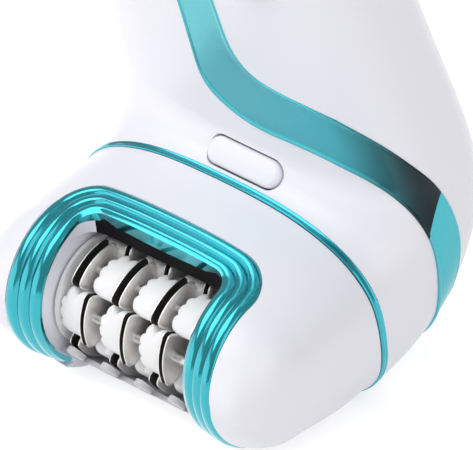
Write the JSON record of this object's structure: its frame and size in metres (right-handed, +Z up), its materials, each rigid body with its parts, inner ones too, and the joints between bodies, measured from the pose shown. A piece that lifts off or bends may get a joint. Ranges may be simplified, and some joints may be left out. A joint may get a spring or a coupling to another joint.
{
  "type": "epilator",
  "caption": "Handheld epilator with a bent grip, a lift-off head with a rotating tweezer roller, a release button and a speed switch.",
  "frame": {"origin": "middle of the small flat under the heel that the epilator stands on", "axes": "+X to the user's right across the head, -Y the way the roller points, +Z up along the grip"},
  "size_m": [0.0676, 0.0612, 0.1396],
  "materials": {
    "shell_white": "satin moulded plastic",
    "band_teal": "metallic lacquer on moulded plastic",
    "trim_teal": "bright tinted plating on moulded plastic",
    "blade_steel": "polished spring steel",
    "shaft_steel": "ground steel",
    "block_white": "moulded plastic",
    "inner_grey": "moulded plastic",
    "inner_black": "moulded plastic",
    "gear_natural": "moulded low-friction plastic",
    "motor_steel": "zinc-plated steel can",
    "bushing_brass": "sintered bearing metal",
    "cell_wrap": "shrink-wrapped battery cell",
    "board_green": "glass-fibre circuit board",
    "light_lens": "clear lens"
  },
  "bodies": {
    "grip": {"front_shell": "shell_white", "back_shell": "shell_white", "end_cap": "shell_white", "coloured_band": "band_teal", "split_ring": "trim_teal", "neck_plate": "inner_grey", "gear_frame": "inner_grey", "motor_can": "motor_steel", "drive_axle": "shaft_steel", "inner_chassis": "inner_grey", "battery_cell": "cell_wrap", "circuit_board": "board_green", "charging_socket": "inner_black", "indicator_light": "light_lens", "shell_screws": "shaft_steel", "button_seat": "inner_grey", "button_spring": "blade_steel"},
    "release": {"release_button": "shell_white", "latch_hook": "shell_white"},
    "speed_slide": {"speed_switch": "inner_grey"},
    "motor_rotor": {"motor_shaft": "shaft_steel", "motor_pinion": "bushing_brass"},
    "drive_wheel": {"drive_gear": "gear_natural"},
    "head": {"head_housing": "shell_white", "roller_frame": "trim_teal", "head_base_plate": "inner_grey", "head_screws": "shaft_steel", "shaft_bushings": "bushing_brass", "idler_axle": "shaft_steel"},
    "idler_wheel": {"idler_gear": "gear_natural"},
    "roller": {"roller_shaft": "shaft_steel", "roller_core": "inner_black", "roller_end_discs": "block_white", "ribbed_blocks": "block_white", "fixed_tweezer_plates": "blade_steel", "moving_tweezer_plates": "blade_steel", "push_rods": "shaft_steel", "drum_gear": "gear_natural"}
  },
  "joints": [
    {"name": "head_release", "type": "slide", "parent": "grip", "child": "head", "axis": [0, -1, 0], "range_m": [0, 0.03]},
    {"name": "roller_spin", "type": "hinge", "parent": "head", "child": "roller", "pos_m": [0, -0.021, 0.014], "axis": [1, 0, 0], "continuous": true},
    {"name": "idler_spin", "type": "hinge", "parent": "head", "child": "idler_wheel", "pos_m": [0.02, -0.0094, 0.014], "axis": [1, 0, 0], "continuous": true},
    {"name": "drive_spin", "type": "hinge", "parent": "grip", "child": "drive_wheel", "pos_m": [0.02, 0.0014, 0.014], "axis": [1, 0, 0], "continuous": true},
    {"name": "motor_spin", "type": "hinge", "parent": "grip", "child": "motor_rotor", "pos_m": [0.02, 0.00974, 0.01789], "axis": [1, 0, 0], "continuous": true},
    {"name": "button_press", "type": "slide", "parent": "grip", "child": "release", "axis": [0, 0.7547, -0.6561], "range_m": [0, 0.0012], "stiffness_N_per_m": 400, "springref_m": -0.002, "deforming": ["button_spring"]},
    {"name": "switch_slide", "type": "slide", "parent": "grip", "child": "speed_slide", "axis": [0, -0.1736, 0.9848], "range_m": [-0.003, 0.003]}
  ],
  "couplings": [
    {"joint": "idler_spin", "follows": "roller_spin", "ratio": -1.2308},
    {"joint": "drive_spin", "follows": "roller_spin", "ratio": 1.1429},
    {"joint": "motor_spin", "follows": "roller_spin", "ratio": -1.7778}
  ]
}
